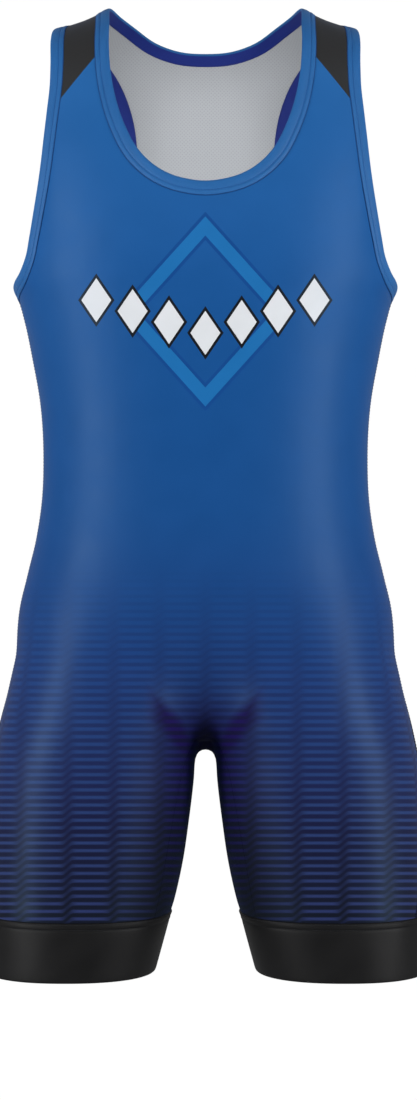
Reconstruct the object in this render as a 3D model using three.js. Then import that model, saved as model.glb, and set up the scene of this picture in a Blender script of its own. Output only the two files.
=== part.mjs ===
// A wrestling singlet, filled out as if worn, hollow and open at the neck, armholes and legs.
// Millimetres, +Z up, the front faces -Y. The origin is on top of the shoulders, midway between the straps.
// The cloth lies on a general figure, given by sections of a torso and of two thighs that run together at the
// crotch. Each sewn piece is a sheet of cells on that figure, thickened to a wall and trimmed at its seams.
import * as THREE from "three";

// Cloth and seams.
const KNIT = 1.6; // wall of the stretch knit
const BAND = 2.6; // wall of a folded binding or a leg band
const BAND_PROUD = 0.8; // how far a binding stands out past the panel beside it
const CUFF_PROUD = 0.4;
const BAND_WIDTH = 12; // binding round the neck and the armholes
const SEAM_GAP = 0.3; // between neighbouring pieces
const LONGEST_MITRE = 4; // longest corner trim, in half gaps

// Levels of the cut.
const YOKE = { y: 111, z: -250 }; // lower end of the cells between the armholes, at the back centre
const WAIST_Z = -430;
const INSERT_TIP_Z = -643; // where the black side wedge starts
const THIGH_Z = -700; // side of the row that runs round the thigh into the crotch
const CUFF_TOP_Z = -843;
const HEM_Z = -898;

// How many cells each stretch of the cut is divided into.
const CELLS = {
  armholeFoot: 5, // along the bottom of the armhole, in front
  strapAcross: 4,
  strap: 10, // from the chest to the shoulder seam
  neckFoot: 5, // along the bottom of the neckline, to the centre
  armholeBack: 10, // from the shoulder seam down the back
  armholeBackFoot: 6, // along the bottom of the armhole, at the back
  neckBack: 5, // from the shoulder seam to the back centre
  side: 8, // from the armpit to the waist
  hip: 8, // from the waist to the wedge's tip
  thigh: 3, // from the tip to the thigh row
  leg: 8, // from the thigh row to the leg band
  insertAcross: 4,
  gussetAcross: 6,
  cuff: 3,
};
const DENSE = 60; // points along a line before it is spaced evenly
const SWEEPS = 30; // passes that even out the cells inside a patch
const YOKE_SWEEPS = 3; // fewer between the armholes, whose edges curve inwards
const CROWDING = 1.35; // how much the rows of the legs crowd towards the crotch

// The figure's sections, squarer than an ellipse by this power.
const SQUARENESS = 2.3;
const BLEND = 24; // radius-like size of the soft join where thighs and torso meet

// Torso sections: half width, depth forward and back of the middle, and where the middle lies along Y.
const TORSO = [
  { z: 20, half: 180, front: 58, back: 62, mid: 6 },
  { z: -75, half: 181, front: 86, back: 92, mid: 4 },
  { z: -150, half: 182, front: 106, back: 107, mid: 0 },
  { z: -215, half: 182, front: 116, back: 111, mid: 0 },
  { z: -264, half: 178.5, front: 116, back: 109, mid: 0 },
  { z: -276, half: 173.5, front: 115, back: 108, mid: 0 },
  { z: -292, half: 169, front: 113, back: 106, mid: 0 },
  { z: -330, half: 161, front: 107, back: 101, mid: 0 },
  { z: -370, half: 154, front: 102, back: 94, mid: 0 },
  { z: -423, half: 151, front: 98, back: 89, mid: 0 },
  { z: -460, half: 152.4, front: 98, back: 91, mid: 0 },
  { z: -498, half: 158, front: 99, back: 99, mid: 0 },
  { z: -535, half: 166.5, front: 100, back: 108, mid: 0 },
  { z: -572, half: 169, front: 96, back: 112, mid: 0 },
  { z: -600, half: 160, front: 89, back: 108, mid: 0 },
  { z: -630, half: 133, front: 76, back: 95, mid: 0 },
  { z: -655, half: 98, front: 60, back: 76, mid: 0 },
  { z: -671, half: 58, front: 42, back: 53, mid: 0 },
  { z: -682, half: 22, front: 18, back: 22, mid: 0 },
];
const CHEST_TOP_Z = -75; // above this the sections close over the shoulders

// Top of the shoulders, by distance from the centre.
const SHOULDER = [
  { x: 0, z: 11.5 },
  { x: 40, z: 9.5 },
  { x: 60, z: 6.5 },
  { x: 80, z: 1.5 },
  { x: 92, z: -2.8 },
  { x: 107, z: -10.4 },
  { x: 125, z: -16.9 },
  { x: 140, z: -20.8 },
  { x: 160, z: -26.6 },
  { x: 185, z: -33.4 },
];

// Thigh sections: outer and inner edge from the centre plane, and depth forward and back.
const THIGH = [
  { z: -520, outer: 138, inner: -46, front: 70, back: 84 },
  { z: -545, outer: 156, inner: -36, front: 82, back: 102 },
  { z: -572, outer: 168, inner: -28, front: 91, back: 113 },
  { z: -610, outer: 177.5, inner: -18, front: 97, back: 119 },
  { z: -647, outer: 186, inner: -9, front: 100, back: 117 },
  { z: -669, outer: 191.5, inner: -1, front: 101, back: 113 },
  { z: -684, outer: 195, inner: 5.6, front: 100, back: 110 },
  { z: -700, outer: 198.6, inner: 9.4, front: 99, back: 107 },
  { z: -722, outer: 201.8, inner: 11, front: 97, back: 104 },
  { z: -759, outer: 204.8, inner: 15.4, front: 94, back: 99 },
  { z: -797, outer: 206.2, inner: 21, front: 91, back: 95 },
  { z: -825, outer: 206.4, inner: 27, front: 89, back: 91 },
  { z: -853, outer: 206.2, inner: 34.5, front: 88, back: 88 },
  { z: -898, outer: 205.2, inner: 46.8, front: 86, back: 84 },
];

// Edge of the neck opening on the right half, from the front centre over the shoulder to the back centre.
const NECK = [
  { face: "front", x: 0, z: -178 },
  { face: "front", x: 29, z: -172.5 },
  { face: "front", x: 47, z: -162 },
  { face: "front", x: 62, z: -145.5 },
  { face: "front", x: 72, z: -125.5 },
  { face: "front", x: 79.5, z: -104 },
  { face: "front", x: 85, z: -78 },
  { face: "front", x: 87.5, z: -50 },
  { face: "front", x: 88, z: -22 },
  { face: "top", x: 86.5, z: -1 },
  { face: "back", x: 78, z: -3.4 },
  { face: "back", x: 67, z: -8.8 },
  { face: "back", x: 52, z: -17.8 },
  { face: "back", x: 28, z: -25.8 },
  { face: "back", x: 0, z: -28 },
];
const NECK_FORK = 3; // row where the strap leaves the bottom of the neckline
const NECK_TOP = 9;

// Edge of the right armhole, from the armpit up the front, over the shoulder and down the back.
const ARMHOLE = [
  { face: "side", x: 178.5, z: -264 },
  { face: "front", x: 167, z: -248 },
  { face: "front", x: 160.5, z: -223 },
  { face: "front", x: 151.5, z: -170 },
  { face: "front", x: 145.5, z: -115 },
  { face: "front", x: 142, z: -60 },
  { face: "top", x: 138, z: -20.3 },
  { face: "back", x: 124, z: -29.5 },
  { face: "back", x: 110.5, z: -41.5 },
  { face: "back", x: 98, z: -57 },
  { face: "back", x: 87.5, z: -78.5 },
  { face: "back", x: 81, z: -108 },
  { face: "back", x: 80, z: -144 },
  { face: "back", x: 88, z: -182 },
  { face: "back", x: 105, z: -215 },
  { face: "back", x: 132, z: -242 },
  { face: "back", x: 160, z: -258 },
];
const ARMHOLE_FORK = 2; // row where the strap leaves the bottom of the armhole
const ARMHOLE_TOP = 6;
const ARMHOLE_BACK_FORK = 14;

// Half angle of the black wedge, from the side of the leg.
const INSERT = [
  { z: -643, angle: 0 },
  { z: -672, angle: 9 },
  { z: -703, angle: 14.5 },
  { z: -759, angle: 21 },
  { z: -797, angle: 27 },
  { z: -829, angle: 33 },
  { z: -843, angle: 36 },
];

// Front and back seams of the inner-leg gusset on the right half, from the centre plane to the leg band.
const GUSSET = {
  front: [
    [0, -38, -680],
    [15, -46, -693],
    [25, -53, -716],
    [31, -56, -750],
    [39, -56, -790],
    [50, -52, CUFF_TOP_Z],
  ],
  back: [
    [0, 44, -680],
    [15, 52, -693],
    [25, 58, -716],
    [31, 60, -750],
    [39, 59, -790],
    [50, 54, CUFF_TOP_Z],
  ],
};
const GUSSET_ANGLE = 143; // of its seams at the leg band, from the side of the leg
const CROTCH_ANGLE = 165; // where the thigh row leaves the leg for the crotch
const CROTCH_DIP = 8; // how far the gusset's centre line hangs under a straight line before it settles
const BELLY_SWING = 60; // how far out of a straight line the centre lines are drawn before they settle

// Smooth value of a column at a place along a table whose key column runs one way.
function valueAt(rows, key, column, place) {
  const last = rows.length - 1;
  const falling = rows[last][key] < rows[0][key] ? -1 : 1;
  const at = (place - rows[0][key]) * falling;
  const length = Math.abs(rows[last][key] - rows[0][key]);
  if (at <= 0) return rows[0][column];
  if (at >= length) return rows[last][column];
  const knot = (i) => (rows[i][key] - rows[0][key]) * falling;
  const rise = (i) => (rows[i + 1][column] - rows[i][column]) / (knot(i + 1) - knot(i));
  const slope = (i) => {
    if (i === 0) return rise(0);
    if (i === last) return rise(last - 1);
    const before = knot(i) - knot(i - 1);
    const after = knot(i + 1) - knot(i);
    return (rise(i - 1) * after + rise(i) * before) / (before + after);
  };
  let i = 0;
  while (knot(i + 1) < at) i++;
  const step = knot(i + 1) - knot(i);
  const t = (at - knot(i)) / step;
  const t2 = t * t;
  const t3 = t2 * t;
  return (
    rows[i][column] * (2 * t3 - 3 * t2 + 1) +
    rows[i + 1][column] * (3 * t2 - 2 * t3) +
    slope(i) * step * (t3 - 2 * t2 + t) +
    slope(i + 1) * step * (t3 - t2)
  );
}

const tableValue = (rows, column, z) => valueAt(rows, "z", column, z);
const power = (value) => Math.abs(value) ** SQUARENESS;
const root = (value) => value ** (1 / SQUARENESS);
const LEAST = 0.05; // keeps divisions away from zero near a section's middle

// Distance-like gap from a point to the torso, negative inside.
function torsoGap(p) {
  const end = TORSO[TORSO.length - 1].z;
  if (p.z < end) return Math.hypot(p.x, p.y, p.z - end);
  const half = tableValue(TORSO, "half", p.z);
  const mid = tableValue(TORSO, "mid", p.z);
  const depth = tableValue(TORSO, p.y < mid ? "front" : "back", p.z);
  const across = power(p.x / half);
  const above = Math.max(p.z - CHEST_TOP_Z, 0);
  let over = 0;
  if (above > 0) {
    const ridge = valueAt(SHOULDER, "x", "z", Math.abs(p.x)) - CHEST_TOP_Z;
    over = power((above / ridge) * root(Math.max(1 - across, LEAST)));
  }
  const reach = Math.max(root(across + power((p.y - mid) / depth) + over), LEAST);
  return (1 - 1 / reach) * Math.hypot(p.x, p.y - mid, above);
}

// The same for one thigh; side is 1 for the right and -1 for the left.
function thighGap(side, p) {
  if (p.z > THIGH[0].z) return 2 * BLEND;
  const outer = tableValue(THIGH, "outer", p.z);
  const inner = tableValue(THIGH, "inner", p.z);
  const depth = tableValue(THIGH, p.y < 0 ? "front" : "back", p.z);
  const x = p.x - (side * (outer + inner)) / 2;
  const reach = Math.max(root(power((2 * x) / (outer - inner)) + power(p.y / depth)), LEAST);
  return (1 - 1 / reach) * Math.hypot(x, p.y);
}

function softMin(a, b) {
  const near = Math.max(BLEND - Math.abs(a - b), 0) / BLEND;
  return Math.min(a, b) - (near * near * BLEND) / 4;
}

const figureGap = (p) => softMin(torsoGap(p), softMin(thighGap(1, p), thighGap(-1, p)));

function gradient(p) {
  const step = 0.05;
  const slope = (axis) => {
    const ahead = p.clone();
    const behind = p.clone();
    ahead[axis] += step;
    behind[axis] -= step;
    return (figureGap(ahead) - figureGap(behind)) / (2 * step);
  };
  return new THREE.Vector3(slope("x"), slope("y"), slope("z"));
}

// Moves a point onto the figure along its slope; a level point keeps its height.
function settle(point, level = false) {
  const p = point.clone();
  const central = p.x === 0;
  const [tries, near] = [8, 1e-5];
  for (let i = 0; i < tries; i++) {
    const gap = figureGap(p);
    if (Math.abs(gap) < near) break;
    const g = gradient(p);
    if (level) g.z = 0;
    if (central) g.x = 0;
    p.addScaledVector(g, -gap / Math.max(g.lengthSq(), LEAST));
  }
  return p;
}

function outward(p) {
  const n = gradient(p);
  if (p.x === 0) n.x = 0;
  return n.normalize();
}

// A point of the figure above the thighs, by its place in the front view.
function drape({ face, x, z }) {
  if (face === "side") return settle(new THREE.Vector3(x, 0, z));
  const mid = tableValue(TORSO, "mid", z);
  if (face === "top") return settle(new THREE.Vector3(x, mid, z));
  const out = face === "front" ? -1 : 1;
  const [outside, halvings] = [200, 40];
  let inside = 0;
  for (let i = 1, step = outside / 2; i < halvings; i++, step /= 2)
    if (figureGap(new THREE.Vector3(x, mid + out * (inside + step), z)) < 0) inside += step;
  return new THREE.Vector3(x, mid + out * inside, z);
}

// Length along a line up to each of its points.
function runningLengths(line) {
  const lengths = [0];
  line.slice(1).forEach((p, i) => lengths.push(lengths[i] + p.distanceTo(line[i])));
  return lengths;
}

// Evenly spaced points along a dense line, with an optional crowding towards its start.
function even(line, cells, crowding = 1) {
  const lengths = runningLengths(line);
  const total = lengths[lengths.length - 1];
  const points = [];
  for (let i = 0, k = 0; i <= cells; i++) {
    const at = total * (i / cells) ** crowding;
    while (k < line.length - 2 && lengths[k + 1] < at) k++;
    const t = (at - lengths[k]) / (lengths[k + 1] - lengths[k] || 1);
    points.push(line[k].clone().lerp(line[k + 1], Math.min(t, 1)));
  }
  return points;
}

// Evenly spaced points on the figure along a path given for 0 to 1; ends that are known stay where they are.
function traced(cells, path, { start, end, level = false, crowding = 1 } = {}) {
  const line = [];
  for (let i = 0; i <= DENSE; i++) line.push(settle(path(i / DENSE), level));
  line[0] = start ?? line[0];
  line[DENSE] = end ?? line[DENSE];
  const points = even(line, cells, crowding);
  return points.map((p, i) => (i === 0 || i === cells ? p : settle(p, level)));
}

// A straight line between two points, laid onto the figure.
const across = (start, end, cells) => traced(cells, (t) => start.clone().lerp(end, t), { start, end });

const mirrored = (p) => new THREE.Vector3(p.x === 0 ? 0 : -p.x, p.y, p.z);

// The neck edge as a closed curve through its table and the mirrored one.
function neckEdge() {
  const right = NECK.map(drape);
  const left = right.slice(1, -1).reverse().map(mirrored);
  const loop = [...right, ...left];
  const curve = new THREE.CatmullRomCurve3(loop, true, "centripetal");
  const part = (from, to, cells) =>
    traced(cells, (t) => curve.getPoint(THREE.MathUtils.lerp(from, to, t) / loop.length));
  const edge = [
    ...part(0, NECK_FORK, CELLS.neckFoot),
    ...part(NECK_FORK, NECK_TOP, CELLS.strap).slice(1),
    ...part(NECK_TOP, NECK.length - 1, CELLS.neckBack).slice(1),
  ];
  edge[0].x = 0;
  edge[edge.length - 1].x = 0;
  return edge;
}

// The right armhole's edge as a closed loop that starts at the armpit and goes up the front.
function armholeEdge() {
  const curve = new THREE.CatmullRomCurve3(ARMHOLE.map(drape), true, "centripetal");
  const part = (from, to, cells) =>
    traced(cells, (t) => curve.getPoint(THREE.MathUtils.lerp(from, to, t) / ARMHOLE.length));
  return [
    ...part(0, ARMHOLE_FORK, CELLS.armholeFoot),
    ...part(ARMHOLE_FORK, ARMHOLE_TOP, CELLS.strap).slice(1),
    ...part(ARMHOLE_TOP, ARMHOLE_BACK_FORK, CELLS.armholeBack).slice(1),
    ...part(ARMHOLE_BACK_FORK, ARMHOLE.length, CELLS.armholeBackFoot).slice(1, -1),
  ];
}

// The line a set distance inside an edge; turn says on which side of the edge the cloth is.
// An open edge ends at the centre plane, where its mirror image carries on.
function inset(edge, distance, turn, closed) {
  const last = edge.length - 1;
  return edge.map((p, i) => {
    const before = edge[i - 1] ?? (closed ? edge[last] : mirrored(edge[1]));
    const after = edge[i + 1] ?? (closed ? edge[0] : mirrored(edge[last - 1]));
    const along = after.clone().sub(before).normalize();
    const moved = outward(p).cross(along).multiplyScalar(turn * distance).add(p);
    if (p.x === 0) moved.x = 0;
    return settle(moved);
  });
}

// How far along a line each of its points is, from 0 to 1.
function fractions(line) {
  const lengths = runningLengths(line);
  const total = lengths[line.length - 1];
  return lengths.map((length, i) => (total > 0 ? length / total : i / (line.length - 1)));
}

// Fills the space between four lines with cells, then evens them out on the figure.
function patch(top, bottom, left, right, sweeps = SWEEPS) {
  const rows = left.length - 1;
  const columns = top.length - 1;
  const [onTop, onBottom, onLeft, onRight] = [top, bottom, left, right].map(fractions);
  const bow = (line, share, j) => line[j].clone().sub(line[0].clone().lerp(line[columns], share[j]));
  const grid = left.map((_, i) => {
    if (i === 0) return [...top];
    if (i === rows) return [...bottom];
    return top.map((_, j) => {
      if (j === 0) return left[i];
      if (j === columns) return right[i];
      const v = THREE.MathUtils.lerp(onLeft[i], onRight[i], j / columns);
      const u = THREE.MathUtils.lerp(onTop[j], onBottom[j], v);
      const p = left[i].clone().lerp(right[i], u);
      p.addScaledVector(bow(top, onTop, j), 1 - v).addScaledVector(bow(bottom, onBottom, j), v);
      return settle(p);
    });
  });
  for (let sweep = 0; sweep < sweeps; sweep++)
    for (let i = 1; i < rows; i++)
      for (let j = 1; j < columns; j++) {
        const around = [grid[i - 1][j], grid[i + 1][j], grid[i][j - 1], grid[i][j + 1]];
        const mean = new THREE.Vector3();
        around.forEach((p) => mean.addScaledVector(p, 0.25));
        grid[i][j] = settle(mean);
      }
  return grid;
}

// A piece of cloth: cells whose corners lie on the figure.
class Sheet {
  points = [];
  cells = [];
  #known = new Map();

  index(p) {
    const key = [p.x, p.y, p.z].map((c) => c.toFixed(3)).join();
    if (!this.#known.has(key)) this.#known.set(key, this.points.push(p) - 1);
    return this.#known.get(key);
  }

  // Adds a grid of points, and its mirror image if asked, with every cell facing out of the figure.
  add(grid, both = true) {
    const cells = [];
    let facing = 0;
    for (let i = 0; i + 1 < grid.length; i++)
      for (let j = 0; j + 1 < grid[i].length; j++) {
        const corners = [grid[i][j], grid[i + 1][j], grid[i + 1][j + 1], grid[i][j + 1]];
        const ab = corners[2].clone().sub(corners[0]);
        const cd = corners[3].clone().sub(corners[1]);
        facing += ab.cross(cd).dot(outward(corners[0]));
        cells.push(corners);
      }
    for (const corners of cells) {
      if (facing < 0) corners.reverse();
      this.cell(corners);
      if (both) this.cell(corners.map(mirrored).reverse());
    }
    return this;
  }

  cell(corners) {
    const ring = corners.map((p) => this.index(p));
    this.cells.push(ring.filter((k, i) => k !== ring[(i + 1) % ring.length]));
  }

  // Edges that belong to one cell only, as a map from each start to its end.
  border() {
    const edges = new Set();
    for (const ring of this.cells)
      ring.forEach((a, i) => edges.add(a + "," + ring[(i + 1) % ring.length]));
    const open = [...edges].map((e) => e.split(",").map(Number));
    return new Map(open.filter(([a, b]) => !edges.has(b + "," + a)));
  }

  // Draws the border back by half a seam gap, square to its edges and mitred at its corners.
  trimmed(normals, border) {
    const moved = this.points.map((p) => p.clone());
    const before = new Map([...border].map(([a, b]) => [b, a]));
    for (const [k, next] of border) {
      const inward = [[before.get(k), k], [k, next]].map(([a, b]) =>
        normals[k].clone().cross(this.points[b].clone().sub(this.points[a])).normalize(),
      );
      const bisector = inward[0].clone().add(inward[1]);
      const mitre = Math.min(2 / Math.max(bisector.lengthSq(), LEAST), LONGEST_MITRE / 2);
      moved[k].addScaledVector(bisector, (SEAM_GAP / 2) * mitre);
    }
    return moved;
  }

  // The closed wall of this cloth, whose outer face stands proud of the figure by a given height.
  wall(thickness, proud) {
    const normals = this.points.map(outward);
    const border = this.border();
    const middle = this.trimmed(normals, border);
    const outer = middle.map((p, k) => p.clone().addScaledVector(normals[k], proud));
    const inner = outer.map((p, k) => p.clone().addScaledVector(normals[k], -thickness));
    const count = outer.length;
    const triangles = [];
    for (const ring of this.cells) {
      const [a, b, c, d] = ring;
      const long = ring.length === 4 && outer[a].distanceTo(outer[c]) > outer[b].distanceTo(outer[d]);
      const split = ring.length === 3 ? [ring] : long ? [[a, b, d], [b, c, d]] : [[a, b, c], [a, c, d]];
      for (const [p, q, r] of split) triangles.push(p, q, r, count + p, count + r, count + q);
    }
    for (const [a, b] of border) {
      // Both pieces at a seam split its twisted edge faces the same way.
      const [p, q] = [this.points[a], this.points[b]];
      if (p.x + p.y + p.z < q.x + q.y + q.z) triangles.push(a, count + a, count + b, a, count + b, b);
      else triangles.push(a, count + a, b, b, count + a, count + b);
    }
    const geometry = new THREE.BufferGeometry();
    const positions = [...outer, ...inner].flatMap((p) => [p.x, p.y, p.z]);
    geometry.setAttribute("position", new THREE.Float32BufferAttribute(positions, 3));
    geometry.setIndex(triangles);
    geometry.computeVertexNormals();
    return geometry;
  }
}

// Bindings: bands of parallel lines inside the neck and armhole edges, from the edge to the seam.
const bandLines = (edge, turn, closed) =>
  [0, 1, 2, 3].map((k) => (k === 0 ? edge : inset(edge, (BAND_WIDTH * k) / 3, turn, closed)));
const neckLines = bandLines(neckEdge(), -1, false);
const armholeLines = bandLines(armholeEdge(), 1, true);
const neckSeam = neckLines.at(-1);
const armholeSeam = armholeLines.at(-1);

// A level point near the outside of the leg, at an angle from the side; positive angles are in front.
function legPoint(angle, z) {
  const outer = tableValue(THIGH, "outer", z);
  const inner = tableValue(THIGH, "inner", z);
  const turn = THREE.MathUtils.degToRad(angle);
  const depth = tableValue(THIGH, angle > 0 ? "front" : "back", z);
  const x = (outer + inner) / 2 + ((outer - inner) / 2) * Math.cos(turn);
  return new THREE.Vector3(x, -depth * Math.sin(turn), z);
}

// Side seam between two heights, with its known ends.
function sideSeam(cells, start, endZ, end) {
  const path = (t) => {
    const z = THREE.MathUtils.lerp(start.z, endZ, t);
    return new THREE.Vector3(tableValue(TORSO, "half", z), 0, z);
  };
  return traced(cells, path, { start, end, level: true });
}

// One edge of the wedge between two heights; sign is 1 for the front edge and -1 for the back one.
function wedgeEdge(sign, startZ, endZ, cells, start) {
  const path = (t) => {
    const z = THREE.MathUtils.lerp(startZ, endZ, t);
    return legPoint(sign * tableValue(INSERT, "angle", z), z);
  };
  return traced(cells, path, { start, level: true });
}

// A centre line, which swings from straight out to nearly straight down under the hips.
function centreLine(sign, start, end, cells) {
  const path = (t) => {
    const p = start.clone().lerp(end, t);
    p.y -= sign * BELLY_SWING * Math.sin(Math.PI * t) * t;
    p.x = 0;
    return p;
  };
  return traced(cells, path, { start, end });
}

// A quarter of the waist, from the side to the front or back centre.
function waistLine(sign, cells) {
  const half = tableValue(TORSO, "half", WAIST_Z);
  const depth = tableValue(TORSO, sign > 0 ? "front" : "back", WAIST_Z);
  const path = (t) => {
    const turn = (t * Math.PI) / 2;
    return new THREE.Vector3(t === 1 ? 0 : half * Math.cos(turn), -sign * depth * Math.sin(turn), WAIST_Z);
  };
  return traced(cells, path, { level: true });
}

// A line round the top of the leg band between two angles.
const bandTop = (fromAngle, toAngle, start, end, cells) =>
  traced(cells, (t) => legPoint(THREE.MathUtils.lerp(fromAngle, toAngle, t), CUFF_TOP_Z), {
    start,
    end,
    level: true,
  });

// Row from the side of the thigh round into the crotch.
function thighRow(sign, start, end, cells) {
  const angle = tableValue(INSERT, "angle", THIGH_Z);
  const pull = end.clone().sub(legPoint(sign * CROTCH_ANGLE, THIGH_Z));
  const path = (t) =>
    legPoint(sign * THREE.MathUtils.lerp(angle, CROTCH_ANGLE, t), THIGH_Z).addScaledVector(pull, t ** 3);
  return traced(cells, path, { start, end });
}

// A gusset seam from the centre plane to the leg band.
function gussetSeam(face) {
  const last = GUSSET[face].length - 1;
  const points = GUSSET[face].map((xyz, i) => settle(new THREE.Vector3(...xyz), i === last));
  const curve = new THREE.CatmullRomCurve3([mirrored(points[1]), ...points], false, "centripetal");
  const path = (t) => curve.getPoint((1 + last * t) / (last + 1));
  return traced(CELLS.leg, path, { start: points[0], end: points[last], crowding: CROWDING });
}

// The front from the bindings to the waist: a strap, and a chest under armhole, strap and neckline.
function frontTop() {
  const foot = CELLS.armholeFoot;
  const low = CELLS.neckFoot;
  const shoulder = across(armholeSeam[foot + CELLS.strap], neckSeam[low + CELLS.strap], CELLS.strapAcross);
  const base = across(armholeSeam[foot], neckSeam[low], CELLS.strapAcross);
  const strap = patch(
    shoulder,
    base,
    armholeSeam.slice(foot, foot + CELLS.strap + 1).reverse(),
    neckSeam.slice(low, low + CELLS.strap + 1).reverse(),
  );
  const top = [...armholeSeam.slice(0, foot), ...base, ...neckSeam.slice(0, low).reverse()];
  const waist = waistLine(1, top.length - 1);
  const side = sideSeam(CELLS.side, armholeSeam[0], WAIST_Z, waist[0]);
  const centre = centreLine(1, neckSeam[0], waist.at(-1), CELLS.side);
  return { grids: [strap, patch(top, waist, side, centre)], waist, shoulder };
}

// The back from the shoulder seam to the waist: a yoke between the armholes, and the rest below them.
function backTop(shoulder) {
  const high = CELLS.armholeFoot + CELLS.strap;
  const low = high + CELLS.armholeBack;
  const neckBack = neckSeam.slice(CELLS.neckFoot + CELLS.strap);
  const top = [...shoulder, ...neckBack.slice(1)];
  const yokeEnd = settle(new THREE.Vector3(0, YOKE.y, YOKE.z));
  const base = across(armholeSeam[low], yokeEnd, top.length - 1);
  const yokeCentre = centreLine(-1, neckBack.at(-1), yokeEnd, CELLS.armholeBack);
  const yoke = patch(top, base, armholeSeam.slice(high, low + 1), yokeCentre, YOKE_SWEEPS);
  const under = [armholeSeam[0], ...armholeSeam.slice(low + 1).reverse(), ...base];
  const waist = waistLine(-1, under.length - 1);
  const side = sideSeam(CELLS.side, armholeSeam[0], WAIST_Z, waist[0]);
  const centre = centreLine(-1, yokeEnd, waist.at(-1), CELLS.side);
  return { grids: [yoke, patch(under, waist, side, centre)], waist };
}

// The rest of one half of a body panel, from the waist down to the leg band.
function bottom(face, waist) {
  const sign = face === "front" ? 1 : -1;
  const columns = waist.length - 1;
  const seam = gussetSeam(face);
  const hipSide = sideSeam(CELLS.hip, waist[0], INSERT_TIP_Z);
  const tipSide = wedgeEdge(sign, INSERT_TIP_Z, THIGH_Z, CELLS.thigh, hipSide.at(-1));
  const thigh = thighRow(sign, tipSide.at(-1), seam[0], columns);
  const centre = centreLine(sign, waist.at(-1), seam[0], CELLS.hip + CELLS.thigh);
  const hip = patch(waist, thigh, [...hipSide, ...tipSide.slice(1)], centre);
  const legSide = wedgeEdge(sign, THIGH_Z, CUFF_TOP_Z, CELLS.leg, tipSide.at(-1));
  const angles = [sign * INSERT.at(-1).angle, sign * GUSSET_ANGLE];
  const cuffTop = bandTop(...angles, legSide.at(-1), seam.at(-1), columns);
  const wedge = [...tipSide, ...legSide.slice(1)];
  return { grids: [hip, patch(thigh, cuffTop, legSide, seam)], seam, cuffTop, wedge };
}

const frontHalf = frontTop();
const backHalf = backTop(frontHalf.shoulder);
const front = bottom("front", frontHalf.waist);
const back = bottom("back", backHalf.waist);

// The gusset's right half, from the crotch's centre line to the leg band.
function gussetGrid() {
  const [start, end] = [front.seam[0], back.seam[0]];
  const path = (t) => start.clone().lerp(end, t).setZ(start.z - CROTCH_DIP);
  const crotch = traced(CELLS.gussetAcross, path, { start, end });
  const ends = [front.seam.at(-1), back.seam.at(-1)];
  const band = bandTop(GUSSET_ANGLE, 360 - GUSSET_ANGLE, ...ends, CELLS.gussetAcross);
  return patch(crotch, band, front.seam, back.seam);
}

// The black wedge on the outside of the right leg, a fan at its tip.
function insertGrid() {
  const tip = Array(CELLS.insertAcross + 1).fill(front.wedge[0]);
  const [start, end] = [front.wedge.at(-1), back.wedge.at(-1)];
  const foot = traced(CELLS.insertAcross, (t) => start.clone().lerp(end, t), { start, end, level: true });
  return patch(tip, foot, front.wedge, back.wedge);
}

const gusset = gussetGrid();
const insert = insertGrid();

// The leg band: the ring of points under the four pieces above it, and rings down to the hem.
function cuffGrid() {
  const ring = [
    ...[...front.cuffTop].reverse(),
    ...insert.at(-1).slice(1),
    ...back.cuffTop.slice(1),
    ...[...gusset.at(-1)].reverse().slice(1),
  ];
  const middle = (z) => (tableValue(THIGH, "outer", z) + tableValue(THIGH, "inner", z)) / 2;
  const rings = [ring];
  for (let k = 1; k <= CELLS.cuff; k++) {
    const z = THREE.MathUtils.lerp(CUFF_TOP_Z, HEM_Z, k / CELLS.cuff);
    const shift = middle(z) - middle(CUFF_TOP_Z);
    rings.push(ring.map((p) => settle(new THREE.Vector3(p.x + shift, p.y, z), true)));
  }
  return rings;
}

const cuff = cuffGrid();
const flipped = (grid) => grid.map((line) => line.map(mirrored));
const closedLines = (lines) => lines.map((line) => [...line, line[0]]);

const BLUE = "#2c62a5";
const BINDING_BLUE = "#356fb4";
const BLACK = "#191a1b";

const singlet = new THREE.Group();

function sew(name, sheet, color, thickness, proud) {
  const cloth = new THREE.MeshStandardMaterial({ color, roughness: 0.65, metalness: 0 });
  const piece = new THREE.Mesh(sheet.wall(thickness, proud), cloth);
  piece.name = name;
  singlet.add(piece);
}

const panels = { front: [...frontHalf.grids, ...front.grids], back: [...backHalf.grids, ...back.grids] };
for (const [name, grids] of Object.entries(panels)) {
  const sheet = new Sheet();
  grids.forEach((grid) => sheet.add(grid));
  sew(name, sheet, BLUE, KNIT, 0);
}
sew("gusset", new Sheet().add(gusset), BLUE, KNIT, 0);
sew("neck_binding", new Sheet().add(neckLines), BINDING_BLUE, BAND, BAND_PROUD);

const sides = { right: (grid) => grid, left: flipped };
for (const [side, placed] of Object.entries(sides)) {
  const one = (grid) => new Sheet().add(placed(grid), false);
  sew("armhole_binding_" + side, one(closedLines(armholeLines)), BINDING_BLUE, BAND, BAND_PROUD);
  sew("side_insert_" + side, one(insert), BLACK, KNIT, 0);
  sew("cuff_" + side, one(cuff), BLACK, BAND, CUFF_PROUD);
}

export default singlet;
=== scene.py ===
"""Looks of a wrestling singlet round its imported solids: knit shells, folded bindings, leg bands and sewing.

Lengths are millimetres until a mesh is made. +Z is up and the front faces -Y, as in the frame.
"""

import math

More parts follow.
